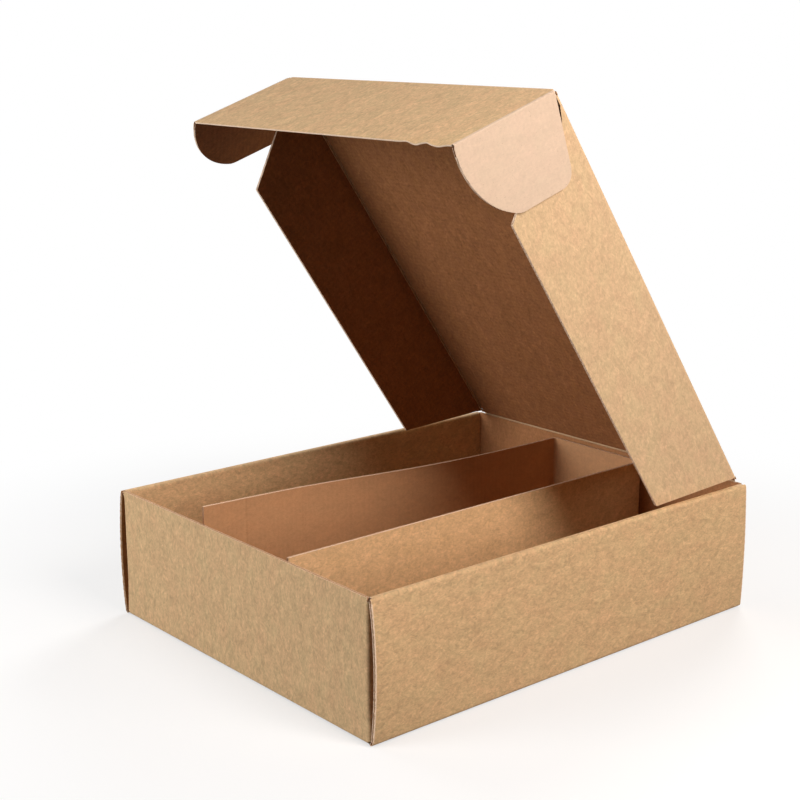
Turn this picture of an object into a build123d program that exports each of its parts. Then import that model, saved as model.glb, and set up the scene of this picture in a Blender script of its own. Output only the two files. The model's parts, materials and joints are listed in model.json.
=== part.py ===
from build123d import *
from math import cos, sin, radians
import os

os.makedirs("parts", exist_ok=True)

# A corrugated card shipping box for three bottles, folded from one sheet, with its lid standing open.
# Frame: +X to the right across the front, +Y to the back, +Z up, origin under the middle of the base.
# Lengths in millimetres, angles in degrees.

# The board and how closely its plies lie
board = 1.8
ply_gap = 0.2
inner_bend = 0.3
bend = inner_bend + board / 2
crease_gap = 0.15

# The tray
box_width = 277.0
box_depth = 340.0
box_height = 91.0
dust_flap_reach = 72.0
dust_flap_drop = 2.6
outer_ply_setback = 0.4
outer_ply_lean = 1.4
tab_length = 52.0
tab_spacing = 168.0
tab_end_gap = 0.3

# The lid and its flaps: the lid stands part open, with the front flap part folded
lid_opening = 55.4
front_flap_fold = 74.2
lid_lift = 0.2
tuck_gap = 0.3
front_flap_depth = 86.0
side_flap_depth = 70.5
side_flap_rear_run = 44.0
side_flap_front_run = 41.0
side_flap_corner = 1.0
side_flap_inset = 3.5
crease_bevel = 1.35
ear_depth = 57.0
ear_lid_inset = 2.0
ear_root_rise = 4.0
ear_tip_run = 38.0
ear_sweep = 60.0
ear_sweep_blend = 16.0
ear_corner = 10.0
left_ear_splay = 34.0

# The divider
divider_height = 86.5
divider_end_gap = 1.2
middle_bay = 87.2
divider_bend = 3.0
right_arm_reach = 326.0
left_arm_reach = 309.0
left_arm_splay = 31.5
left_arm_lean = 7.5
left_arm_lean_run = 134.0
left_arm_curl = 7.0
left_arm_curl_run = 231.0

# Where the plies of a rolled side wall stand, measured out from the middle of the box
rim = 3 * board + 2 * ply_gap
outer_ply = box_width / 2 - board / 2
inner_ply = box_width / 2 - rim + board / 2
dust_ply = outer_ply - board - ply_gap
inner_face = inner_ply - board / 2
end_wall = box_depth / 2 - board / 2
end_face = end_wall - board / 2

# The lid's creases: each turns on the middle of the board
hinge_y = end_wall
hinge_z = box_height + lid_lift + board / 2
ear_crease = inner_face - tuck_gap - board / 2
side_crease = ear_crease - board - ply_gap
lid_length = hinge_y + end_face - tuck_gap - board / 2
panel_start = board / 2 + crease_gap

# Directions: along the open lid, from the lid towards the inside of the box, and along the flap
along_lid = Vector(0, -cos(radians(lid_opening)), sin(radians(lid_opening)))
into_box = Vector(0, -sin(radians(lid_opening)), -cos(radians(lid_opening)))
along_flap = along_lid * cos(radians(front_flap_fold)) + into_box * sin(radians(front_flap_fold))
lid_hinge = Vector(0, hinge_y, hinge_z)
front_crease = lid_hinge + along_lid * lid_length

lid_plane = Plane(origin=lid_hinge, x_dir=(1, 0, 0), z_dir=along_lid)
flap_plane = Plane(origin=front_crease, x_dir=(1, 0, 0), z_dir=along_flap)

# The tray: base, end walls with dust flaps, and side walls rolled over the dust flaps and tabbed
# into the base. It is one sheet, so it is one solid.
with BuildPart() as tray:
    # Across the box: inner ply, rim, outer ply, base, and the same again on the other side
    with BuildSketch(Plane.XZ.offset(-(box_depth / 2 - outer_ply_setback))) as side_section:
        with BuildLine() as side_path:
            FilletPolyline(
                (-inner_ply, board + ply_gap),
                (-inner_ply, box_height - board / 2),
                (-outer_ply, box_height - board / 2),
                (-outer_ply, board / 2),
                (outer_ply, board / 2),
                (outer_ply, box_height - board / 2),
                (inner_ply, box_height - board / 2),
                (inner_ply, board + ply_gap),
                radius=bend,
            )
        trace(line_width=board)
    extrude(amount=box_depth - 2 * outer_ply_setback)

    # The rim and the inner ply stop against the end walls
    for side in (-1, 1):
        for end in (-1, 1):
            with BuildSketch(Plane.XY.offset(board + ply_gap / 2)) as stop_cut:
                with Locations((side * (inner_ply + dust_ply) / 2, end * box_depth / 2)):
                    Rectangle(2 * (dust_ply - inner_ply), 2 * (board + ply_gap))
            extrude(amount=box_height, mode=Mode.SUBTRACT)

    # The outer ply's raw front edge leans back from the front wall towards the top
    with BuildSketch(Plane.YZ.offset(-box_width / 2 - 1)) as lean_cut:
        with BuildLine() as lean_line:
            Polyline(
                (-box_depth / 2 - 1, board),
                (-box_depth / 2 + outer_ply_setback, board + inner_bend),
                (-box_depth / 2 + outer_ply_setback + outer_ply_lean, box_height - board - 1),
                (-box_depth / 2 - 1, box_height - board - 1),
                close=True,
            )
        make_face()
    extrude(amount=box_width + 2, mode=Mode.SUBTRACT)

    # Along the box: front wall, base and back wall
    with BuildSketch(Plane.YZ.offset(-(dust_ply - bend))) as end_section:
        with BuildLine() as end_path:
            FilletPolyline(
                (-end_wall, box_height),
                (-end_wall, board / 2),
                (end_wall, board / 2),
                (end_wall, hinge_z),
                radius=bend,
            )
        trace(line_width=board)
    extrude(amount=2 * (dust_ply - bend))

    # Each end wall turns its corners into two dust flaps between the plies of the side walls
    for end in (-1, 1):
        with BuildSketch(Plane.XY.offset(board + ply_gap)) as dust_section:
            with BuildLine() as dust_path:
                FilletPolyline(
                    (-dust_ply, end * (box_depth / 2 - dust_flap_reach)),
                    (-dust_ply, end * end_wall),
                    (dust_ply, end * end_wall),
                    (dust_ply, end * (box_depth / 2 - dust_flap_reach)),
                    radius=bend,
                )
            trace(line_width=board)
        extrude(amount=box_height - dust_flap_drop - board - ply_gap)

    # The crease that the lid turns on is a rolled bead along the top of the back wall
    with BuildSketch(Plane.YZ.offset(-(side_crease + board / 2))) as bead_section:
        with Locations((hinge_y, hinge_z)):
            Circle(board / 2)
    extrude(amount=2 * side_crease + board)

    # Tabs under the inner plies pass down through slots in the base
    for side in (-1, 1):
        with BuildSketch() as slot_plan:
            with Locations((side * inner_ply, 0)):
                with GridLocations(0, tab_spacing, 1, 2):
                    Rectangle(board + 2 * ply_gap, tab_length + 2 * tab_end_gap)
        extrude(amount=board + ply_gap, mode=Mode.SUBTRACT)
        with BuildSketch(Plane.XY.offset(ply_gap)) as tab_plan:
            with Locations((side * inner_ply, 0)):
                with GridLocations(0, tab_spacing, 1, 2):
                    Rectangle(board, tab_length)
        extrude(amount=2 * board)

tray.part.label = "tray"
export_step(tray.part, "parts/tray.step")

# The lid panel: its two side edges and its front edge are rolled creases
with BuildPart() as lid:
    with BuildSketch(lid_plane.offset(panel_start)) as panel_section:
        SlotCenterToCenter(2 * side_crease, board)
    extrude(amount=lid_length - panel_start)
    front_bead = Plane(origin=front_crease, x_dir=along_lid, z_dir=(1, 0, 0))
    with BuildSketch(front_bead.offset(-side_crease)) as front_bead_section:
        Circle(board / 2)
    extrude(amount=2 * side_crease)

lid.part.label = "lid_panel"
export_step(lid.part, "parts/lid_panel.step")

# The lid's right side flap hangs square from the panel's side crease. Its rear end is cut on a
# slant so that it passes the rim, and its front end so that it clears the front flap.
side_plane = Plane(origin=lid_hinge + Vector(side_crease, 0, 0), x_dir=along_lid, z_dir=(1, 0, 0))
with BuildPart() as right_side_flap:
    with BuildSketch(side_plane.offset(-board / 2)) as side_outline:
        with BuildLine():
            side_edge = FilletPolyline(
                (side_flap_inset, panel_start),
                (side_flap_inset + side_flap_rear_run, side_flap_depth),
                (lid_length - side_flap_inset - side_flap_front_run, side_flap_depth),
                (lid_length - side_flap_inset, panel_start),
                radius=side_flap_corner,
            )
            Line(side_edge @ 1, side_edge @ 0)
        make_face()
    extrude(amount=board)
    # The crease is crushed on its inner side, so that the flap can also fold in under the lid
    inner_side = right_side_flap.faces().sort_by(Axis.X)[0]
    crease_middle = lid_hinge + along_lid * (lid_length / 2) + Vector(side_crease, 0, 0)
    chamfer(inner_side.edges().sort_by_distance(crease_middle)[0], length=crease_bevel)

right_side_flap.part.label = "lid_right_side_flap"
export_step(right_side_flap.part, "parts/lid_right_side_flap.step")

with BuildPart() as left_side_flap:
    add(mirror(right_side_flap.part, about=Plane.YZ, mode=Mode.PRIVATE))

left_side_flap.part.label = "lid_left_side_flap"
export_step(left_side_flap.part, "parts/lid_left_side_flap.step")

# The front flap: its two ends are rolled creases that the ears turn on
with BuildPart() as front_flap:
    with BuildSketch(flap_plane.offset(panel_start)) as front_flap_section:
        SlotCenterToCenter(2 * ear_crease, board)
    extrude(amount=front_flap_depth - panel_start)

front_flap.part.label = "lid_front_flap"
export_step(front_flap.part, "parts/lid_front_flap.step")

# The right ear stands square behind the front flap, outside the side flap. It sweeps in one long
# curve from the flap's free edge to its tip, and has a small corner next to the lid.
ear_plane = Plane(origin=front_crease + Vector(ear_crease, 0, 0), x_dir=along_flap, z_dir=(1, 0, 0))
with BuildPart() as right_ear:
    with BuildSketch(ear_plane.offset(-board / 2)) as ear_outline:
        with BuildLine():
            ear_root = Line((ear_lid_inset, panel_start), (front_flap_depth, panel_start))
            ear_free = Line(ear_root @ 1, (front_flap_depth, ear_root_rise))
            ear_curve = RadiusArc(ear_free @ 1, (front_flap_depth - ear_tip_run, ear_depth), -ear_sweep)
            ear_end = Line(ear_curve @ 1, (ear_lid_inset, ear_depth))
            Line(ear_end @ 1, ear_root @ 0)
        make_face()
        end_corners = ear_outline.vertices().sort_by(Axis.Y)[-2:]
        fillet(end_corners.sort_by(Axis.X)[-1], radius=ear_sweep_blend)
        lid_corners = ear_outline.vertices().sort_by(Axis.X)[:2]
        fillet(lid_corners.sort_by(Axis.Y)[-1], radius=ear_corner)
    extrude(amount=board)

right_ear.part.label = "right_ear"
export_step(right_ear.part, "parts/right_ear.step")

# The left ear is the same blank, sprung outwards about its crease
with BuildPart() as left_ear:
    square_ear = mirror(right_ear.part, about=Plane.YZ, mode=Mode.PRIVATE)
    left_ear_axis = Axis(front_crease - Vector(ear_crease, 0, 0), along_flap)
    add(square_ear.rotate(left_ear_axis, -left_ear_splay))

left_ear.part.label = "left_ear"
export_step(left_ear.part, "parts/left_ear.step")

# The divider: a second sheet folded to a U, closed at the back and open at the front. Its arms
# part the tray into three bays, and the left arm is pressed outwards at its free end.
arm_line = middle_bay / 2 + board / 2
divider_back = end_face - divider_end_gap - board / 2
with BuildPart() as divider:
    with BuildSketch(Plane.XY.offset(board)) as divider_plan:
        with BuildLine() as divider_path:
            fold = FilletPolyline(
                (arm_line, divider_back - right_arm_reach),
                (arm_line, divider_back),
                (-arm_line, divider_back),
                (-arm_line, divider_back - 3 * divider_bend),
                radius=divider_bend,
            )
            Spline(
                fold @ 1,
                (-arm_line - left_arm_lean, divider_back - left_arm_lean_run),
                (-arm_line - left_arm_splay + left_arm_curl, divider_back - left_arm_curl_run),
                (-arm_line - left_arm_splay, divider_back - left_arm_reach),
                tangents=(fold % 1, (-left_arm_curl, left_arm_curl_run - left_arm_reach)),
            )
        trace(line_width=board)
    extrude(amount=divider_height)

divider.part.label = "divider"
export_step(divider.part, "parts/divider.step")
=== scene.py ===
# %% [markdown]
# # A corrugated mailing box with a folded divider, standing open
# One sheet of fine-flute board is folded into a tray with a hinged lid, and a second sheet is
# folded into a divider. The solids give every piece its place. Here each board is rebuilt as what
# it is: two paper liners with a wavy medium glued between them, so the cut edges show real flutes.

# %% Load the solids
import bpy
import bmesh
import json
import math
import numpy as np
from mathutils import Matrix, Vector


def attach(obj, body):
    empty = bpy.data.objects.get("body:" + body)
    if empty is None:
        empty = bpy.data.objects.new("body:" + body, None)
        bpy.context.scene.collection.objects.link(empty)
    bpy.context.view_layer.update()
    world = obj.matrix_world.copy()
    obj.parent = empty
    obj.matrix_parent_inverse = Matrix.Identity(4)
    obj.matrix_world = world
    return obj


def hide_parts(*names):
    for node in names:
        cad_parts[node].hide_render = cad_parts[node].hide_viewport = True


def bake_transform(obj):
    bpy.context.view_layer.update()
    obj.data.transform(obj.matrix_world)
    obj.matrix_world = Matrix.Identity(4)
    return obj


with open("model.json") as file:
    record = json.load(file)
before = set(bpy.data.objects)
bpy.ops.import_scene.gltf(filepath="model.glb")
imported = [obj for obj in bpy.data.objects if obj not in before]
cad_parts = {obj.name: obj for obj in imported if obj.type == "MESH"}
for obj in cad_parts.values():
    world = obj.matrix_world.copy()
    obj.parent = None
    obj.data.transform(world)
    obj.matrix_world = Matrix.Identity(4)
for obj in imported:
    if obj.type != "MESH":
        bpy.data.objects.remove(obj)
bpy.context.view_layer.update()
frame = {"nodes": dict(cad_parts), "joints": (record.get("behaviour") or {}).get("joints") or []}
joints = {joint["name"]: joint for joint in frame["joints"]}

# %% [markdown]
# ## The camera
# The camera stands to the right of the front, a little higher than the raised lid and about 1.1 m
# away. That far off, a lens of 70 mm keeps the upright corners of the tray nearly parallel. Its
# direction is written as the angle round the box, the angle above the floor and a small roll.

# %% Camera
MM = 0.001
azimuth, elevation, roll = (math.radians(angle) for angle in (49.83, 13.92, -0.20))
camera_place = Vector((779.9, -689.7, 412.0)) * MM
reach = math.cos(elevation)
backwards = Vector((math.sin(azimuth) * reach, -math.cos(azimuth) * reach, math.sin(elevation)))
level = Vector((math.cos(azimuth), math.sin(azimuth), 0))
upright = backwards.cross(level)
side_axis = level * math.cos(roll) + upright * math.sin(roll)
up_axis = upright * math.cos(roll) - level * math.sin(roll)
facing = Matrix((side_axis, up_axis, backwards)).transposed().to_4x4()
camera_data = bpy.data.cameras.new("studio_camera")
camera_data.sensor_width = 36
camera_data.lens = 69.8715
camera_data.clip_end = 20
camera = bpy.data.objects.new("studio_camera", camera_data)
camera.matrix_world = Matrix.Translation(camera_place) @ facing
bpy.context.scene.collection.objects.link(camera)
bpy.context.scene.camera = camera
print("camera lens", round(camera_data.lens, 1), "mm")

# %% [markdown]
# ## Where the folds are
# The lid, its flaps and the ears each turn on a crease, and the joints say where each crease runs.
# From them come the directions that the boards are built along: along the lid, into the box, along
# the front flap, and behind it.

# %% Folds
across = Vector((1, 0, 0))
lid_crease = Vector(joints["lid_hinge"]["pos_m"])
front_crease = Vector(joints["front_flap_hinge"]["pos_m"])
along_lid = Vector(joints["right_side_flap_hinge"]["axis"]).normalized()
into_box = across.cross(along_lid)
along_flap = Vector(joints["right_ear_hinge"]["axis"]).normalized()
behind_flap = across.cross(along_flap)
side_crease = joints["right_side_flap_hinge"]["pos_m"][0]
ear_crease = joints["right_ear_hinge"]["pos_m"][0]
lid_length = (front_crease - lid_crease).length
print("lid", round(lid_length / MM, 1), "mm long, side creases", round(side_crease / MM, 1), "out")

# %% [markdown]
# ## The board
# The board is single wall, 1.8 mm thick: two liners of 0.28 mm, and between them a medium that
# waves once in 3.7 mm. A crease takes up about 1 mm of board on each side of its middle.

# %% Sizes of the board
BOARD = 1.8 * MM
HALF = BOARD / 2
LINER = 0.28 * MM
MEDIUM = 0.26 * MM
SWING = HALF - LINER - MEDIUM / 2
FLUTE = 3.7 * MM
CREASE = 1.05 * MM
print("the medium swings", round(SWING / MM, 2), "mm either way")

# %% [markdown]
# ## Colour and node helpers
# Colours are written as the sRGB hex values that a picture shows, and shaders work in linear
# light, so one function turns one into the other. One more function adds a shader node, sets its
# values and links its inputs, which keeps each material below to a readable list.

# %% Helpers for materials
def linear(hex_colour):
    parts = [int(hex_colour[i : i + 2], 16) / 255 for i in (1, 3, 5)]
    lit = [p / 12.92 if p <= 0.04045 else ((p + 0.055) / 1.055) ** 2.4 for p in parts]
    return tuple(lit) + (1.0,)


def add_node(tree, kind, links=None, **settings):
    node = tree.nodes.new(kind)
    for name, value in settings.items():
        setattr(node, name, value)
    for key, value in (links or {}).items():
        if isinstance(value, bpy.types.NodeSocket):
            tree.links.new(value, node.inputs[key])
        else:
            node.inputs[key].default_value = value
    return node


def new_material(name):
    material = bpy.data.materials.new(name)
    material.use_nodes = True
    material.node_tree.nodes.clear()
    return material, material.node_tree


print("kraft tan in linear light:", [round(c, 3) for c in linear("#c8a078")[:3]])

# %% [markdown]
# ## Kraft liner
# Kraft liner is unbleached wood pulp, felted wet on a wire and left matt, so it hardly shines. Its
# long fibres lie mostly along the web, which here is across the flutes, and so its mottling is a
# little longer that way. Noises of different grain give it: a slow drift over 20 mm between two
# close tans, clouds of 6 to 10 mm, flocks of 2 to 3 mm where fibres bunched up, and fibres. A fibre
# is 1 to 3 mm long but only 0.03 mm thick, too fine to show, so it is drawn as coarse as a pixel,
# 0.7 mm. A last noise leaves a few dark flecks. Where the liner is glued to the medium it sinks
# between the flutes, which is the washboard that the board shows in low light. A bump gives its
# relief, and its shade is painted into the colour as fine stripes over the flutes. The pattern is
# laid out by a UV map in metres: U runs across the flutes and V along them.

# %% Noise for paper
def paper_noise(tree, place, across_mm, along_mm, detail, least, most, distortion=0.0):
    # a noise with grains of that size across and along the flutes: plain, and from least to most
    per_metre = (1000 / across_mm, 1000 / along_mm, 1)
    scaled = add_node(tree, "ShaderNodeVectorMath", {0: place, 1: per_metre}, operation="MULTIPLY")
    grain = {"Scale": 1.0, "Detail": detail, "Roughness": 0.6, "Distortion": distortion}
    noise = add_node(tree, "ShaderNodeTexNoise", {"Vector": scaled.outputs[0], **grain})
    limits = {1: 0.3, 2: 0.7, 3: least, 4: most}
    spread = add_node(tree, "ShaderNodeMapRange", {0: noise.outputs[0], **limits})
    return noise.outputs[0], spread.outputs[0]


print("finest grain drawn: 0.7 mm, about one pixel of the render")

# %% Kraft liner material
def kraft_liner(name, colour, second, mottle, groove_shade, flock_mm):
    # mottle: how far the colour strays to either side in clouds; the next argument: how far the
    # painted shade of the washboard grooves strays over the flutes
    material, tree = new_material(name)
    place = add_node(tree, "ShaderNodeUVMap", uv_map="board").outputs[0]

    def either_side(share):
        return 1 - share * mottle, 1 + share * mottle

    drift = paper_noise(tree, place, 22, 15, 3.0, 0.0, 1.0, 0.5)[1]
    clouds = paper_noise(tree, place, 10, 6, 2.0, *either_side(0.8), 1.5)[1]
    flocks = paper_noise(tree, place, flock_mm, 2.2, 2.0, *either_side(1), 1.2)[1]
    fibre, fibres = paper_noise(tree, place, 1.9, 0.7, 2.0, *either_side(0.55))
    flecks = paper_noise(tree, place, 1.5, 0.9, 1.0, 0.0, 1.0)[0]

    # painted shade: stripes at the flute pitch darken and lighten the colour where the washboard
    # grooves would shade it
    turns = 2 * math.pi / FLUTE
    u = add_node(tree, "ShaderNodeSeparateXYZ", {0: place}).outputs[0]
    angle = add_node(tree, "ShaderNodeMath", {0: u, 1: turns}, operation="MULTIPLY").outputs[0]
    wave = add_node(tree, "ShaderNodeMath", {0: angle}, operation="SINE").outputs[0]
    limits = {1: -1.0, 2: 1.0, 3: 1 - groove_shade, 4: 1 + groove_shade}
    painted_groove_shade = add_node(tree, "ShaderNodeMapRange", {0: wave, **limits}).outputs[0]

    shade = clouds
    for part in (flocks, fibres, painted_groove_shade):
        product = add_node(tree, "ShaderNodeMath", {0: shade, 1: part}, operation="MULTIPLY")
        shade = product.outputs[0]
    tans = {"Factor": drift, "A": linear(colour), "B": linear(second)}
    base = add_node(tree, "ShaderNodeMix", tans, data_type="RGBA").outputs["Result"]
    tint = add_node(tree, "ShaderNodeVectorMath", {0: base, "Scale": shade}, operation="SCALE")
    rare = {1: 0.70, 2: 0.76, 3: 0.0, 4: 0.4}
    mask = add_node(tree, "ShaderNodeMapRange", {0: flecks, **rare}).outputs[0]
    flecked = {"Factor": mask, "A": tint.outputs[0], "B": linear("#7d5a3a")}
    paper = add_node(tree, "ShaderNodeMix", flecked, data_type="RGBA").outputs["Result"]

    relief = {0: wave, 1: 0.35, 2: fibre}
    height = add_node(tree, "ShaderNodeMath", relief, operation="MULTIPLY_ADD").outputs[0]
    depth = {"Strength": 0.5, "Distance": 0.06 * MM, "Height": height}
    bump = add_node(tree, "ShaderNodeBump", depth).outputs[0]
    matt = {"Base Color": paper, "Roughness": 0.82, "Specular IOR Level": 0.25, "Normal": bump}
    surface = add_node(tree, "ShaderNodeBsdfPrincipled", matt).outputs[0]
    add_node(tree, "ShaderNodeOutputMaterial", {"Surface": surface})
    return material


outside_kraft = kraft_liner("outside_kraft_liner", "#d2ab81", "#cfaf83", 0.145, 0.006, 3.4)
print("first liner:", outside_kraft.name)

# %% [markdown]
# ## The liners of each board
# The outside is the smoother, paler side of the sheet. It is drawn palest on the ears and the side
# flaps, as in the photograph: that paleness is painted light, where the lamps on the right fall
# brightest. The inside is browner, and its washboard is painted as stronger shade. Under the lid
# it is darker still, as painted shade, which makes up for the light that the pale, empty bays
# throw up at it. The divider is cut from another, redder sheet.

# %% Liners
# painted light: the side flaps' outside liner is drawn paler than the rest of the outside
side_flap_painted_light_kraft = kraft_liner("flap_kraft_liner", "#d2af8a", "#d1b48c", 0.115, 0.006, 3.4)
inside_kraft = kraft_liner("inside_kraft_liner", "#a8754b", "#ae7950", 0.11, 0.022, 2.4)
# painted shade: the inside liner under the lid is drawn darker than in the tray
lid_inside_painted_shade = kraft_liner("lid_inside_kraft_liner", "#96643c", "#9b6741", 0.19, 0.035, 2.4)
divider_kraft = kraft_liner("divider_kraft_liner", "#c09167", "#c79469", 0.06, 0.012, 2.6)
divider_outside = kraft_liner("divider_outside_liner", "#d1aa7c", "#d7af82", 0.13, 0.008, 3.0)
# painted light: the ears' outside liner is drawn palest, with little mottle
ear_painted_light_kraft = kraft_liner("ear_kraft_liner", "#d3bba3", "#d6bba4", 0.04, 0.004, 2.6)
print("kraft liners:", [m.name for m in bpy.data.materials if m.name.endswith("_liner")])

# %% [markdown]
# ## Fluting medium, creased and cut paper
# The medium is a thinner, darker recycled paper. It is only seen end on in the cut edges. Where the
# board is creased or cut, the fibres of the liner are bruised and torn, which makes them lighter.
# The cut edges are drawn paler still, near white, which adds a painted highlight where they catch
# the lamps.

# %% Fluting, crease and cut edge materials
def plain_paper(name, colour, spread):
    material, tree = new_material(name)
    uv = add_node(tree, "ShaderNodeUVMap", uv_map="board").outputs[0]
    grain, value = paper_noise(tree, uv, 1.2, 1.2, 3.0, 1 - spread, 1 + spread)
    shaded = {0: linear(colour)[:3], "Scale": value}
    tint = add_node(tree, "ShaderNodeVectorMath", shaded, operation="SCALE").outputs[0]
    depth = {"Strength": 0.4, "Distance": 0.05 * MM, "Height": grain}
    bump = add_node(tree, "ShaderNodeBump", depth).outputs[0]
    matt = {"Base Color": tint, "Roughness": 0.9, "Specular IOR Level": 0.2, "Normal": bump}
    surface = add_node(tree, "ShaderNodeBsdfPrincipled", matt).outputs[0]
    add_node(tree, "ShaderNodeOutputMaterial", {"Surface": surface})
    return material


fluting = plain_paper("fluting_medium", "#c2976f", 0.12)
creased_kraft = plain_paper("creased_kraft_liner", "#d9b78f", 0.06)
# cut edges: bruised paper, drawn paler still with a painted highlight
cut_paper_painted_highlight = plain_paper("cut_paper_edge", "#efd3b8", 0.10)
print("papers:", fluting.name, creased_kraft.name, cut_paper_painted_highlight.name)

# %% [markdown]
# ## How a board is built
# A board is laid out flat: s runs across the flutes, t along them and w through the thickness, with
# the outside liner at positive w. A placing function then puts each flat point where the folded
# board has it, so one maker serves a flat flap, a rolled wall and a bowed arm. Each liner is a
# thin closed slab. The medium is a wave between them, made only near the cut edges that show it.

# %% Points of a board
# the papers of a board, in the order of OUTSIDE, INSIDE, WAVE and EDGE
OUTSIDE, INSIDE, WAVE, EDGE = 0, 1, 2, 3
tray_papers = [outside_kraft, inside_kraft, fluting, cut_paper_painted_highlight]
lid_papers = [outside_kraft, lid_inside_painted_shade, fluting, cut_paper_painted_highlight]


def cuts(start, stop, count):
    return [float(v) for v in np.linspace(start, stop, count + 1)]


def flat(origin, s_way, t_way, outwards):
    # the placing function of a board that stays flat
    return lambda s, t, w: origin + s_way * s + t_way * t + outwards * w


def slab_row(place, s, t_cuts, below, above):
    # one row of a slab that runs from w = below to w = above
    return [(place(s, t, below), place(s, t, above), s, t) for t in t_cuts]


print("papers of the lid:", [paper.name for paper in lid_papers])

# %% Board maker
class Board:
    def __init__(self, name, shift=0):
        # shift moves the board to its own part of the paper pattern
        self.name, self.shift = name, shift * 100 * FLUTE
        self.points, self.faces, self.slots, self.layout = [], [], [], []

    def face(self, corners, slot):
        self.faces.append(corners)
        self.slots.append(slot)

    def slab(self, rows, slot):
        # rows: for each s, the (point below, point above, s, t) of each t
        first, wide = len(self.points), len(rows[0])
        for row in rows:
            for below, above, s, t in row:
                self.points += [below, above]
                self.layout += [(s + self.shift, t), (s + self.shift, t)]

        def at(i, j, k):
            return first + 2 * (i * wide + j) + k

        last, end = len(rows) - 1, wide - 1
        rim = slot if slot == WAVE else EDGE
        for i in range(last):
            for j in range(end):
                for k in (0, 1):
                    around = ((i, j), (i + 1, j), (i + 1, j + 1), (i, j + 1))
                    self.face(tuple(at(*corner, k) for corner in around), slot)
            for j in (0, end):
                self.face((at(i, j, 0), at(i + 1, j, 0), at(i + 1, j, 1), at(i, j, 1)), rim)
        for j in range(end):
            for i in (0, last):
                self.face((at(i, j, 0), at(i, j + 1, 0), at(i, j + 1, 1), at(i, j, 1)), rim)

    def patch(self, place, s_cuts, t_cuts, waves=()):
        # t_cuts: a list of lengths along the flutes, or a function of s that gives one
        lengths = t_cuts if callable(t_cuts) else (lambda s: t_cuts)
        for below, above, slot in ((HALF - LINER, HALF, OUTSIDE), (-HALF, LINER - HALF, INSIDE)):
            self.slab([slab_row(place, s, lengths(s), below, above) for s in s_cuts], slot)
        for start, stop in waves:
            steps = max(2, round((stop - start) / FLUTE * 10))
            rows = []
            for s in cuts(start, stop, steps):
                w = SWING * math.sin(2 * math.pi * s / FLUTE)
                rows.append(slab_row(place, s, lengths(s), w - MEDIUM / 2, w + MEDIUM / 2))
            self.slab(rows, WAVE)

    def crushed_ends(self, place, s_cuts, edge):
        # a row of cut flute ends: the rule tears the medium and half closes each flute with it
        rows = []
        for s in s_cuts:
            half = HALF * (0.3 + 0.45 * abs(math.sin(math.pi * s / FLUTE)))
            ends = [edge(s) - back for back in (0.35 * MM, 0.05 * MM)]
            rows.append(slab_row(place, s, ends, -half, half))
        self.slab(rows, EDGE)


print("a medium wave has 10 steps of", round(FLUTE / MM / 10, 2), "mm")

# %% [markdown]
# ## From a board to a piece
# One call turns the lists of points and faces into a mesh. The paper pattern needs each corner's
# place on the flat sheet, and that goes into a UV layer. The faces are listed in no set direction,
# so bmesh turns them all outwards. Then the bends are shaded smooth and the cut edges stay sharp.
# The piece rides on its body and replaces the plain solids of the same board.

# %% Piece maker
def make_piece(board, papers, body, nodes=()):
    mesh = bpy.data.meshes.new(board.name)
    mesh.from_pydata([tuple(p) for p in board.points], [], board.faces)
    mesh.polygons.foreach_set("material_index", board.slots)
    layer = mesh.uv_layers.new(name="board")
    corners = np.zeros(len(mesh.loops), dtype=np.int64)
    mesh.loops.foreach_get("vertex_index", corners)
    layer.data.foreach_set("uv", np.array(board.layout, dtype=np.float32)[corners].ravel())
    for paper in papers:
        mesh.materials.append(paper)
    work = bmesh.new()
    work.from_mesh(mesh)
    bmesh.ops.recalc_face_normals(work, faces=work.faces)
    work.to_mesh(mesh)
    work.free()
    mesh.shade_smooth()
    mesh.set_sharp_from_angle(angle=math.radians(35))
    piece = bpy.data.objects.new(board.name, mesh)
    bpy.context.scene.collection.objects.link(piece)
    if body:
        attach(piece, body)
    if nodes:
        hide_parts(*nodes)
    print(board.name, len(mesh.polygons), "faces")
    return piece


print("solids to replace:", len(frame["nodes"]))

# %% [markdown]
# ## The lid panel
# The panel's flutes run across the box, so its front and rear edges lie along a flute. All four
# sides end in creases; only short stretches beside the front and rear creases are cut edges.

# %% Lid panel
side_inset = 3.5 * MM
side_stop = lid_length - side_inset
lid_panel = Board("lid_panel_board", 1)
lid_place = flat(lid_crease, along_lid, across, -into_box)


def squeezed(w):
    # a crease crushes the board's inside to a slope, which lets the two boards fold past square
    return max(CREASE, -w * math.tan(math.radians(66)))


def lid_between_creases(s, t, w):
    half_width = side_crease - squeezed(w)
    return lid_place(s, min(half_width, max(-half_width, t)), w)


half_lid = side_crease - CREASE
lid_panel.patch(lid_between_creases, cuts(side_inset, side_stop, 40), cuts(-half_lid, half_lid, 24))
full_width = cuts(-side_crease - HALF, side_crease + HALF, 24)
for start, stop in ((CREASE, side_inset), (side_stop, lid_length - CREASE)):
    lid_panel.patch(lid_place, cuts(start, stop, 1), full_width, [(start, stop)])
make_piece(lid_panel, lid_papers, "lid", ["lid_panel"])

# %% [markdown]
# ## The lid's side flaps
# Each side flap hangs from a side crease. Its flutes run away from the crease, so the free edge is
# a row of open flute ends, and the slanted ends cut across them. The outline comes from its few
# corners, which a steel rule bent in the die leaves almost sharp. At the front a slot frees the
# flap's corner from the lid, and it shows as a dark slit beside the ear.

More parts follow.
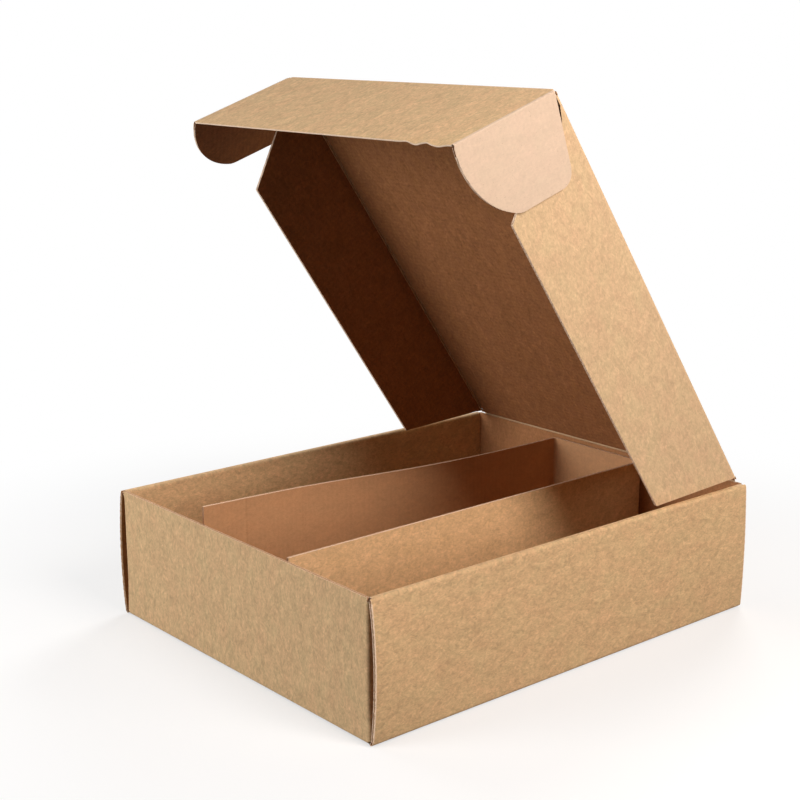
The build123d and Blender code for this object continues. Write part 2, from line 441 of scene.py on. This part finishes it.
# %% Rounded outlines
def rounded(corners, radii, steps=8):
    # corners: (s, t) points of an open outline; radii: one for each inner corner
    out = [corners[0]]
    for i in range(1, len(corners) - 1):
        a, b, c = (np.array(corners[k], float) for k in (i - 1, i, i + 1))
        to_a, to_c = (a - b) / np.linalg.norm(a - b), (c - b) / np.linalg.norm(c - b)
        half = math.acos(float(np.clip(to_a @ to_c, -1, 1))) / 2
        from_corner = radii[i - 1] / math.tan(half)
        middle = b + (to_a + to_c) / np.linalg.norm(to_a + to_c) * radii[i - 1] / math.sin(half)
        start, end = b + to_a * from_corner - middle, b + to_c * from_corner - middle
        for k in range(steps + 1):
            mixed = start * (1 - k / steps) + end * k / steps
            out.append(tuple(middle + mixed / np.linalg.norm(mixed) * radii[i - 1]))
    return np.array(out + [corners[-1]], float)


side_depth = 70.5 * MM
rear_slant, front_slant, end_gap = 44 * MM, 41 * MM, 0.1 * MM
flap_start, flap_stop = side_inset + end_gap, side_stop - end_gap
side_outline = rounded(
    [
        (flap_start, CREASE),
        (side_inset + rear_slant, side_depth),
        (side_stop - front_slant, side_depth),
        (flap_stop, CREASE),
    ],
    [1 * MM, 1 * MM],
)
print("side flap:", round((side_stop - side_inset) / MM), "x", round(side_depth / MM), "mm")

# %% The slot beside the ear
# in millimetres: how far behind the front crease the slot starts, and how soon it is fully open
SLOT_LONG, SLOT_OPENS = 20, 9
slot_start = lid_length - SLOT_LONG * MM
strip_tip, flap_tip = lid_length - 10.5 * MM, lid_length - 7 * MM


def crease_line(s):
    return CREASE


def side_edge(s):
    return float(np.interp(s, side_outline[:, 0], side_outline[:, 1]))


def relief_slot(s):
    # the slot's edge beside the lid and its edge under the ear; it starts in a rounded end
    behind = (lid_length - s) / MM
    beside_ear = 0.3 + 0.28 * behind
    wide = math.sqrt(min(1, max(0, (SLOT_LONG - behind) / SLOT_OPENS)))
    return (beside_ear - 1.7 * wide) * MM, (beside_ear + 2.5 * wide) * MM


def between(near, far):
    return lambda s: [near(s) + (far(s) - near(s)) * share for share in np.linspace(0, 1, 9)]


print("slot:", round((flap_stop - slot_start) / MM, 1), "mm long")

# %% Side flaps
def side_flap(side, name, body, node):
    board = Board(name, 3 + side)
    laid = flat(lid_crease + across * side * side_crease, along_lid, into_box, across * side)

    def place(s, t, w):
        return laid(s, max(t, squeezed(w)), w)

    corners = [float(v) for v in side_outline[:, 0] if flap_start < v < slot_start]
    marks = sorted(set(cuts(flap_start, slot_start, 86) + corners))
    marks = [m for i, m in enumerate(marks) if i == 0 or m - marks[i - 1] > 1e-6]
    board.patch(place, marks, between(crease_line, side_edge), [(flap_start, slot_start)])
    # beyond the slot's end: a strip that tapers off at the crease, and the flap's free corner
    strip = between(crease_line, lambda s: relief_slot(s)[0])
    board.patch(place, cuts(slot_start, strip_tip, 12), strip)
    corner = between(lambda s: relief_slot(s)[1], side_edge)
    board.patch(place, cuts(slot_start, flap_tip, 12), corner, [(slot_start, flap_tip)])
    board.crushed_ends(place, cuts(flap_start + 0.3 * MM, flap_tip - 0.3 * MM, 526), side_edge)
    make_piece(board, [side_flap_painted_light_kraft] + lid_papers[1:], body, [node])


side_flap(1, "right_side_flap_board", "right_side_flap", "lid_right_side_flap")
side_flap(-1, "left_side_flap_board", "left_side_flap", "lid_left_side_flap")

# %% [markdown]
# ## The front flap
# The front flap's flutes run across the box too, so its long free edge is cut along one flute,
# where the die presses the two liners together. Near its right end the edge has been knocked: it
# is ragged, and bent down by about a millimetre in two places.

# %% The knocked edge
flap_depth = 86 * MM
KNOCKED_FROM = 79 * MM
# where along the edge, how wide, how far bitten back and how far bent down, all in millimetres
KNOCKS = (
    (91, 4, 0.5, -0.3),
    (98.5, 5, 0.1, 1.3),
    (108, 3, 0.9, -0.2),
    (118, 6, 0.0, 1.2),
    (127, 3, 0.6, 0.2),
)


def knocked(s, t):
    # how far a point of the flap moves back and down
    near = min(1, max(0, (s - KNOCKED_FROM) / (flap_depth - KNOCKED_FROM))) ** 1.5
    bite, drop = 0, 0
    for middle, width, back, down in KNOCKS:
        bump = math.exp(-(((t / MM - middle) / width) ** 2))
        bite, drop = bite + back * bump, drop + down * bump
    return near * bite * MM, near * drop * MM


def crushed(distance):
    # the share of its thickness that the board keeps near an edge cut along a flute
    return 0.5 + 0.5 * min(1, max(0, distance / (1.6 * MM))) ** 0.7


def flap_place(s, t, w):
    bite, drop = knocked(s, t)
    thin = crushed(flap_depth - s)
    down = drop - w * thin - 0.3 * MM * (1 - thin)
    return front_crease + along_flap * (s - bite) + across * t + behind_flap * down


print("knocks in the front flap's edge:", len(KNOCKS))

# %% Front flap
half_flap = ear_crease - CREASE
flap_t = cuts(-half_flap, 80 * MM, 30) + cuts(81 * MM, half_flap, 50)
flap_s = cuts(CREASE, 68 * MM, 8) + cuts(71 * MM, 83.6 * MM, 5) + cuts(84.2 * MM, flap_depth, 6)
front_flap = Board("front_flap_board", 6)
front_flap.patch(flap_place, flap_s, flap_t, [(78 * MM, flap_depth)])
closed_s = (flap_depth - 0.4 * MM, flap_depth + 0.02 * MM)
closed_edge = [slab_row(flap_place, s, flap_t, -0.8 * HALF, 0.9 * HALF) for s in closed_s]
front_flap.slab(closed_edge, EDGE)
make_piece(front_flap, lid_papers, "front_flap", ["lid_front_flap"])

# %% [markdown]
# ## The ears
# An ear is a die-cut lobe at each end of the front flap. One long arc runs from the free edge to
# its tip, so it can slip down between the walls. Its flutes run away from the flap.

# %% Ears
left_splay = math.radians(34)


def ear_edge(s):
    # how deep the ear is at s: a corner of 10 mm, a straight tip, a corner of 16 and an arc of 60
    def arc(middle, foot, radius):
        return (foot + math.sqrt(max(0, radius**2 - (s / MM - middle) ** 2))) * MM

    if s < 12 * MM:
        return arc(12, 47, 10)
    if s < 44.65 * MM:
        return 57 * MM
    return arc(44.65, 41, 16) if s < 51.4 * MM else arc(26.1, 1.1, 60)


def ear(side, splay, name, body, node):
    board = Board(name, 9 + side)
    outwards = across * side * math.cos(splay) - behind_flap * math.sin(splay)
    away = behind_flap * math.cos(splay) + across * side * math.sin(splay)
    place = flat(front_crease + across * side * ear_crease, along_flap, away, outwards)
    marks = cuts(2 * MM, 12 * MM, 10) + cuts(15 * MM, 42 * MM, 9) + cuts(44.65 * MM, flap_depth, 40)
    board.patch(place, marks, between(crease_line, ear_edge), [(2 * MM, flap_depth)])
    board.crushed_ends(place, cuts(2.3 * MM, 85.8 * MM, 140), ear_edge)
    make_piece(board, [ear_painted_light_kraft] + lid_papers[1:], body, [node])


ear(1, 0, "right_ear_board", "right_ear", "right_ear")
ear(-1, left_splay, "left_ear_board", "left_ear", "left_ear")

# %% [markdown]
# ## Paths for folded boards
# The tray's walls and the divider are boards bent along a path. A path is a list of corners with a
# bend radius, turned into points with their distance along it and the direction that faces outside.

# %% Bent paths
BEND = 1.2 * MM


class BentPath:
    def __init__(self, points):
        self.points = np.array(points, float)
        steps = np.diff(self.points, axis=0)
        sizes = np.hypot(steps[:, 0], steps[:, 1])
        self.lengths = np.concatenate([[0], np.cumsum(sizes)])
        ways = steps / sizes[:, None]
        ways = np.vstack([ways[:1], ways[:-1] + ways[1:], ways[-1:]])
        ways /= np.hypot(ways[:, 0], ways[:, 1])[:, None]
        self.outwards = np.stack([ways[:, 1], -ways[:, 0]], axis=1)

    def at(self, length, w):
        a, b = (np.interp(length, self.lengths, self.points[:, k]) for k in (0, 1))
        out = np.array([np.interp(length, self.lengths, self.outwards[:, k]) for k in (0, 1)])
        out /= np.hypot(*out)
        return float(a + out[0] * w), float(b + out[1] * w)

    def marks(self, start, stop, spacing):
        # every bend point between start and stop, and no step longer than the spacing
        inner = [v for v in self.lengths if start + 1e-6 < v < stop - 1e-6]
        marks = [start]
        for v in inner + [stop]:
            count = max(1, math.ceil((v - marks[-1]) / spacing))
            marks += cuts(marks[-1], v, count)[1:]
        return [float(v) for v in marks]


print("bend radius on the middle of the board:", BEND / MM, "mm")

# %% [markdown]
# ## The divider
# The divider is one strip folded to a U. Its flutes stand upright, so its top edge is a row of
# flute ends, and it creases easily along a flute: two faint upright creases show on the left arm,
# which has been pressed outwards and keeps a slow curve.

# %% Curve of the left arm
def clamped_curve(points, start_way, end_way, steps=14):
    # a smooth curve through the points with given directions at both ends
    p = np.array(points, float)
    t = np.concatenate([[0], np.cumsum(np.hypot(*np.diff(p, axis=0).T))])
    h, n = np.diff(t), len(p)
    grid, right = np.zeros((n, n)), np.zeros((n, 2))
    grid[0, 0] = grid[-1, -1] = 1
    right[0], right[-1] = start_way, end_way
    for i in range(1, n - 1):
        grid[i, i - 1 : i + 2] = h[i], 2 * (h[i - 1] + h[i]), h[i - 1]
        before, after = p[i] - p[i - 1], p[i + 1] - p[i]
        right[i] = 3 * (h[i] * before / h[i - 1] + h[i - 1] * after / h[i])
    slope = np.linalg.solve(grid, right)
    out = []
    for i in range(n - 1):
        for u in np.linspace(0, 1, steps + 1)[(i > 0) :]:
            a, b = (1 + 2 * u) * (1 - u) ** 2, u * (1 - u) ** 2
            c, d = u * u * (3 - 2 * u), u * u * (u - 1)
            from_here = a * p[i] + b * h[i] * slope[i]
            out.append(tuple(from_here + c * p[i + 1] + d * h[i] * slope[i + 1]))
    return out


arm, back = 44.5, 166.1
arm_points = [
    (-arm, back - 9),
    (-arm - 7.5, back - 134),
    (-arm - 24.5, back - 231),
    (-arm - 31.5, back - 309),
]
left_arm = clamped_curve(arm_points, (0, -1), np.array([-7.0, -78.0]) / math.hypot(7, 78))
u_fold = rounded([(arm, back - 326), (arm, back), (-arm, back), (-arm, back - 9)], [3, 3])
divider_path = BentPath(np.array(list(u_fold) + left_arm[1:]) * MM)
divider_long = divider_path.lengths[-1]
print("divider strip", round(divider_long / MM), "mm long")

# %% Divider
divider_foot, divider_top = 1.8 * MM, 88.3 * MM


def nearest_on_left_arm(y):
    along_arm = np.linspace(divider_long / 2 + 50 * MM, divider_long, 3000)
    return float(min(along_arm, key=lambda s: abs(divider_path.at(s, 0)[1] - y)))


arm_creases = [nearest_on_left_arm(y * MM) for y in (-110, -64.9)]


def divider_place(s, t, w):
    groove = sum(0.4 * MM * math.exp(-(((s - c) / (0.8 * MM)) ** 2)) for c in arm_creases)
    x, y = divider_path.at(s, w + groove)
    return Vector((x, y, t))


divider = Board("divider_board", 12)
divider_marks = divider_path.marks(0, divider_long, 8 * MM)
divider_marks += [c + d * MM for c in arm_creases for d in (-1.7, -0.9, 0, 0.9, 1.7)]
divider_t = cuts(divider_foot, divider_top, 6)
divider.patch(divider_place, sorted(divider_marks), divider_t, [(0, divider_long)])
top_marks = cuts(0.3 * MM, divider_long - 0.3 * MM, 1160)
divider.crushed_ends(divider_place, top_marks, lambda s: divider_top)
divider_papers = [divider_outside, divider_kraft, fluting, cut_paper_painted_highlight]
make_piece(divider, divider_papers, "tray", ["divider"])

# %% [markdown]
# ## The tray
# The tray is the rest of the folded sheet. The front and back walls turn their ends into dust
# flaps, and each side wall rolls over them: up outside, over the rim, and down inside to tabs that
# lock in slots in the base. It is laid out as walls, dust flaps and base, each on its own bent
# path, and they meet where the real sheet is continuous.

# %% Tray sizes
outer_ply, inner_ply, dust_ply = 137.6 * MM, 133.6 * MM, 135.6 * MM
end_wall, height = 169.1 * MM, 91 * MM
wall_foot = outer_ply - BEND
tray = Board("tray_board", 15)
print("tray", round(2 * (outer_ply + HALF) / MM), "x", round(2 * (end_wall + HALF) / MM), "mm")

# %% [markdown]
# ### Rolled side walls
# The outer ply of a side wall runs on to the corner, and the rim and inner ply stop a little before
# it. Nothing holds the outer ply at its ends, so it bows outwards there, most at the front. The
# front wall is drawn in at its corners and takes the inner ply with it, which leaves a dark slit.

# %% Shape of a side wall
# the wall is laid out to WALL_END, and from WALL_EASES on it eases to where each ply really ends;
# a point of the path that lies beyond OUTER_ZONE is in the outer ply
WALL_END, WALL_EASES = 169.6 * MM, 155 * MM
OUTER_ZONE = 136.9 * MM
wall_corners = [
    (wall_foot, HALF),
    (outer_ply, HALF),
    (outer_ply, height - HALF),
    (inner_ply, height - HALF),
    (inner_ply, 2 * MM),
]
wall_path = BentPath(rounded(wall_corners, [BEND, BEND, BEND], 6))
wall_long = wall_path.lengths[-1]


def wall_end(t):
    # how far out along the wall the board reaches, for a point t round the path
    x, z = wall_path.at(t, 0)
    if x < OUTER_ZONE and z > 1.9 * MM:
        return 168 * MM
    ragged = 0.25 * math.sin(z / MM * 1.1) + 0.2 * math.sin(z / MM * 2.3 + 1)
    return (170.2 - 0.6 * abs(ragged)) * MM


def corner_pinch(y, z):
    # how far the corner of the front wall, and the inner ply beside it, stand inwards at a height
    tall = min(1, max(0, (88.4 * MM - z) / (2.4 * MM))) * min(1, max(0, z / (26 * MM)))
    return 1.5 * MM * tall * math.exp(-(((end_wall + y) / (13 * MM)) ** 2))


print("side wall strip", round(wall_long / MM, 1), "mm round")

# %% Placing a side wall
FRONT_BOW, BACK_BOW = 3.6, 1.2


def wall_place(side):
    def place(s, t, w):
        x, z = wall_path.at(t, w)
        y = s
        if abs(s) > WALL_EASES:
            share = (abs(s) - WALL_EASES) / (WALL_END - WALL_EASES)
            y = math.copysign(WALL_EASES + share * (wall_end(t) - WALL_EASES), s)
        if wall_path.at(t, 0)[0] > OUTER_ZONE:
            proud = (FRONT_BOW if s < 0 else BACK_BOW) * MM
            rise = min(1, max(0, z / (88 * MM)))
            fade = math.exp(-(((170 * MM - abs(s)) / (36 * MM)) ** 2))
            x += proud * math.sin(math.pi * rise) ** 0.8 * fade
        elif x < inner_ply + HALF + 0.1 * MM:
            x -= corner_pinch(y, z)
        return Vector((side * x, y, z))

    return place


print("the outer ply bows", FRONT_BOW, "mm at the front and", BACK_BOW, "mm at the back")

# %% [markdown]
# ### Raw ends of the outer ply
# The die tears the outer ply's ends more than it cuts them. Two torn lips of liner spread a little,
# with the crumpled medium between them. The front left end's lips are drawn in the darker fluting
# colour: painted shade.

# %% Torn ends
torn_t = cuts(2.4 * MM, 88 * MM, 240)
crumple = [0.42 * MM * math.sin(2 * math.pi * t / (3.3 * MM) + math.sin(t * 190)) for t in torn_t]


def torn_end(place, end, inwards, lip_paper_and_shade):
    for below, above in ((0.45 * MM, 1.02 * MM), (-1.02 * MM, -0.45 * MM)):
        lip_s = (end + inwards / 5, end)
        lip = [[slab_row(place, s, [t], below, above)[0] for s in lip_s] for t in torn_t[::3]]
        tray.slab(lip, lip_paper_and_shade)
    medium = []
    for t, w in zip(torn_t, crumple):
        medium_s = (end + inwards, end + inwards / 12)
        medium.append([slab_row(place, s, [t], w - MEDIUM, w + MEDIUM)[0] for s in medium_s])
    tray.slab(medium, WAVE)


print("torn ends:", len(torn_t), "points up each")

# %% Side walls with their lock tabs
wall_marks = wall_path.marks(0, wall_long, 3 * MM)
wall_s = cuts(-WALL_END, -WALL_EASES, 5) + cuts(-150 * MM, -70 * MM, 14)
wall_s += cuts(-60 * MM, 60 * MM, 6) + cuts(70 * MM, 150 * MM, 14)
wall_s += cuts(WALL_EASES, WALL_END, 5)
for side in (-1, 1):
    place = wall_place(side)
    end_zones = [(-WALL_END, -WALL_EASES), (WALL_EASES, WALL_END)]
    tray.patch(place, wall_s, wall_marks, end_zones)
    # painted shade: the front left lips take the darker fluting colour
    torn_end(place, -WALL_END, 3 * MM, WAVE if side < 0 else EDGE)
    torn_end(place, WALL_END, -3 * MM, EDGE)
    foot = Vector((side * inner_ply, 0, 2 * MM))
    tab_place = flat(foot, Vector((0, 1, 0)), Vector((0, 0, -1)), across * -side)
    for middle in (-84, 84):
        tab = ((middle - 26) * MM, (middle + 26) * MM)
        tray.patch(tab_place, tab, [0, 1.8 * MM], [tab])
print("faces so far:", len(tray.faces))

# %% [markdown]
# ### Front and back walls
# The front and the back wall each run on round both corners into a dust flap, which lies between
# the two plies of the side wall. Their top edges are cut, so only these show flutes.

# %% Front and back walls with their dust flaps
dust_end = 98 * MM
ring = [
    (-dust_ply, -dust_end),
    (-dust_ply, -end_wall),
    (dust_ply, -end_wall),
    (dust_ply, -dust_end),
]
ring_path = BentPath(rounded(ring, [BEND, BEND], 6))
ring_long = ring_path.lengths[-1]
turn = end_wall - dust_end - BEND + BEND * math.pi / 2


def ring_place(front):
    def place(s, t, w):
        x, y = ring_path.at(t, w)
        if front:
            # the corner is drawn in, and the pull fades away along the wall
            x -= math.copysign(corner_pinch(y, s), x) * min(1, (abs(x) / dust_ply) ** 8)
        return Vector((x, y, s)) if front else Vector((-x, -y, s))

    return place


for front in (True, False):
    place = ring_place(front)
    top = height if front else height + 0.05 * MM
    up = cuts(2.1 * MM, 26 * MM, 3) + cuts(30 * MM, 80 * MM, 3) + [86 * MM, 88.4 * MM, top]
    wall_t = ring_path.marks(turn, ring_long - turn, 18 * MM)
    tray.patch(place, up, wall_t, [(80 * MM, top)] if front else [])
    for start, stop in ((0, turn), (ring_long - turn, ring_long)):
        flap_marks = ring_path.marks(start, stop, 18 * MM)
        tray.patch(place, up[:-1], flap_marks, [(80 * MM, 88.4 * MM)])
print("wall and dust flaps:", round(ring_long / MM), "mm round")

# %% [markdown]
# ### Base
# The base turns up at the front and back into the walls. Along each side it has two slots, a little
# longer than the tabs that lock in them.

# %% Base with its slots
SLOT_ENDS = (-110.3, -57.7, 57.7, 110.3)  # millimetres from the middle, along the side
# the flat middle of the base ends at flat_side, and the slots reach from there to slot_side
flat_side, slot_side = 132.5 * MM, 134.7 * MM
base_turns = [
    (-end_wall, 2.1 * MM),
    (-end_wall, HALF),
    (end_wall, HALF),
    (end_wall, 2.1 * MM),
]
base_path = BentPath(rounded(base_turns, [BEND - 0.01 * MM] * 2, 6))
base_long = base_path.lengths[-1]


def base_place(s, t, w):
    y, z = base_path.at(s, w)
    return Vector((t, y, z))


def base_patch(start, stop, t_cuts):
    tray.patch(base_place, base_path.marks(start, stop, 24 * MM), t_cuts)


flat_start = base_long / 2 - (end_wall - BEND)
flat_stop = base_long / 2 + (end_wall - BEND)
base_edges = [flat_start] + [base_long / 2 + v * MM for v in SLOT_ENDS] + [flat_stop]
base_patch(0, base_long, cuts(-flat_side, flat_side, 12))
for side in (-1, 1):
    for start, stop in ((0, flat_start), (flat_stop, base_long)):
        base_patch(start, stop, sorted([side * flat_side, side * (dust_ply - BEND)]))
    for i, (start, stop) in enumerate(zip(base_edges, base_edges[1:])):
        inner = slot_side if i % 2 else flat_side
        base_patch(start, stop, sorted([side * inner, side * wall_foot]))
make_piece(tray, tray_papers, "tray", ["tray"])

# %% [markdown]
# ## The creases
# At a crease the liners run on round the fold, and the bruised outer one is what shows. Each crease
# is a narrow bent strip between the two boards, fixed where they stand now: it rides on neither
# body.

# %% Crease maker
def crease(name, bodies, origin, run, span, ways, shift, paper=creased_kraft):
    # run: the crease's own direction, from span[0] to span[1]; ways: away from it along each board
    board = Board(name, shift)
    (start, stop), (way_a, way_b) = span, ways
    inner = (way_a + way_b).normalized() if (way_a + way_b).length > 1e-6 else way_a
    outer_a = (way_a * way_a.dot(inner) - inner).normalized()
    outer_b = (way_b * way_b.dot(inner) - inner).normalized()
    arc = [outer_a.lerp(outer_b, k / 8).normalized() for k in range(9)]

    def ring(radius):
        points = [way_a * CREASE + outer_a * radius, way_a * 0.4 * CREASE + outer_a * radius]
        points += [a * radius for a in arc[1:-1]]
        return points + [way_b * 0.4 * CREASE + outer_b * radius, way_b * CREASE + outer_b * radius]

    pairs = list(zip(ring(HALF - LINER), ring(HALF)))
    rows = []
    for r in cuts(start, stop, max(1, round((stop - start) / (12 * MM)))):
        at = origin + run * r
        rows.append([(at + a, at + b, r, k * 0.4 * MM) for k, (a, b) in enumerate(pairs)])
    board.slab(rows, OUTSIDE)
    piece = make_piece(board, [paper, paper, fluting, paper], None)
    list(bodies)
    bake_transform(piece)


print("crease strips reach", CREASE / MM, "mm each way")

# %% Creases
wide, down = (-half_lid, half_lid), Vector((0, 0, -1))
crease("lid_crease_strip", ("tray", "lid"), lid_crease, across, wide, (down, along_lid), 20)
front_ways = (-along_lid, along_flap)
crease("front_crease_strip", ("lid", "front_flap"), front_crease, across, wide, front_ways, 21)
for side, word, splay in ((1, "right", 0), (-1, "left", left_splay)):
    name, bodies = word + "_side_crease_strip", ("lid", word + "_side_flap")
    edge = lid_crease + across * side * side_crease
    ways = (across * -side, into_box)
    crease(name, bodies, edge, along_lid, (side_inset, side_stop), ways, 22 + side)
    name, bodies = word + "_ear_crease_strip", ("front_flap", word + "_ear")
    edge = front_crease + across * side * ear_crease
    ways = (across * -side, behind_flap * math.cos(splay) + across * side * math.sin(splay))
    span = (2 * MM, flap_depth - 0.3 * MM)
    # the ear creases take the ear's paler liner, with its painted light
    crease(name, bodies, edge, along_flap, span, ways, 25 + side, ear_painted_light_kraft)

# %% [markdown]
# ## Floor
# The box stands on white paper that fills the view. To the camera the paper turns from lit white
# near the box to plain white further out, so the background has no horizon, and the shadow under
# the box stays. To every other ray it is an ordinary matt grey card, which keeps the light that it
# throws back on the walls low.

# %% Floor
def seen_by_camera(tree):
    # 1 for a ray that the picture shows, straight, mirrored or through glass, and 0 for the rest
    rays = add_node(tree, "ShaderNodeLightPath").outputs
    sees = rays["Is Camera Ray"]
    for kind in ("Is Glossy Ray", "Is Transmission Ray"):
        either = add_node(tree, "ShaderNodeMath", {0: sees, 1: rays[kind]}, operation="MAXIMUM")
        sees = either.outputs[0]
    return sees


floor_mesh = bpy.data.meshes.new("studio_floor")
floor_mesh.from_pydata([(-6, -6, 0), (6, -6, 0), (6, 6, 0), (-6, 6, 0)], [], [(0, 1, 2, 3)])
floor = bpy.data.objects.new("studio_floor", floor_mesh)
floor.location.z = -0.4 * MM
bpy.context.scene.collection.objects.link(floor)
floor_paper, tree = new_material("white_studio_paper")
place = add_node(tree, "ShaderNodeTexCoord").outputs["Object"]
spread = add_node(tree, "ShaderNodeVectorMath", {0: place}, operation="LENGTH").outputs["Value"]
fading = {0: spread, 1: 0.24, 2: 0.55, 3: 0.45, 4: 0.0}
near = add_node(tree, "ShaderNodeMapRange", fading, interpolation_type="SMOOTHSTEP").outputs[0]
white = add_node(tree, "ShaderNodeEmission", {"Color": (1, 1, 1, 1), "Strength": 1.0}).outputs[0]
lit = add_node(tree, "ShaderNodeBsdfDiffuse", {"Color": (0.95, 0.95, 0.95, 1)}).outputs[0]
grey = add_node(tree, "ShaderNodeBsdfDiffuse", {"Color": linear("#6a6865")}).outputs[0]
seen = add_node(tree, "ShaderNodeMixShader", {0: near, 1: white, 2: lit}).outputs[0]
both = add_node(tree, "ShaderNodeMixShader", {0: seen_by_camera(tree), 1: grey, 2: seen})
add_node(tree, "ShaderNodeOutputMaterial", {"Surface": both.outputs[0]})
floor_mesh.materials.append(floor_paper)
print("floor paper:", floor_paper.name)

# %% [markdown]
# ## Light
# Two soft, slightly warm lamps on the right light the ear, the side flap and the right wall, and
# reach into the front half of the bays; the side flap throws the rear half into shade. A wide low
# one in front lights the front wall, the cut edges and the rear of the bays. Little light comes
# from elsewhere, so the inside of the lid is lit mostly by what the board throws back; that light
# and the shade painted into its liner make it a deep red brown. A weak one on the left evens out
# the front flap, and one behind shows the back of the lid.

# %% Light
LAMPS = (
    # name, place in metres, width in metres, watts, colour
    ("key_lamp", (0.7, -0.05, 0.72), 0.4, 5.1, "#fff6ef"),
    ("side_lamp", (1.2, 0.3, 0.5), 0.6, 6.4, "#fff6ef"),
    ("front_lamp", (-0.36, -1.25, 0.5), 0.8, 12.8, "#ffffff"),
    ("left_lamp", (-1.0, -0.25, 0.9), 0.6, 3.2, "#ffffff"),
    ("back_lamp", (-0.7, 1.3, 0.9), 0.8, 15, "#ffffff"),
)
box_middle = Vector((0, 0, 0.15))
for name, place, size, power, colour in LAMPS:
    data = bpy.data.lights.new(name, "AREA")
    data.shape, data.size, data.energy = "DISK", size, power
    data.color = linear(colour)[:3]
    lamp = bpy.data.objects.new(name, data)
    lamp.location = place
    lamp.rotation_euler = (box_middle - Vector(place)).to_track_quat("-Z", "Y").to_euler()
    bpy.context.scene.collection.objects.link(lamp)

# %% Background
world = bpy.data.worlds.new("studio_air")
bpy.context.scene.world = world
world.use_nodes = True
tree = world.node_tree
tree.nodes.clear()
levels = {0: seen_by_camera(tree), 1: 0.0, 2: 1.0, 3: 0.02, 4: 1.0}
strength = add_node(tree, "ShaderNodeMapRange", levels).outputs[0]
white_air = {"Color": (1, 1, 1, 1), "Strength": strength}
air = add_node(tree, "ShaderNodeBackground", white_air).outputs[0]
add_node(tree, "ShaderNodeOutputWorld", {"Surface": air})
bpy.context.scene.view_settings.view_transform = "Standard"
print("background: white to the camera, and almost no light from it to the box")
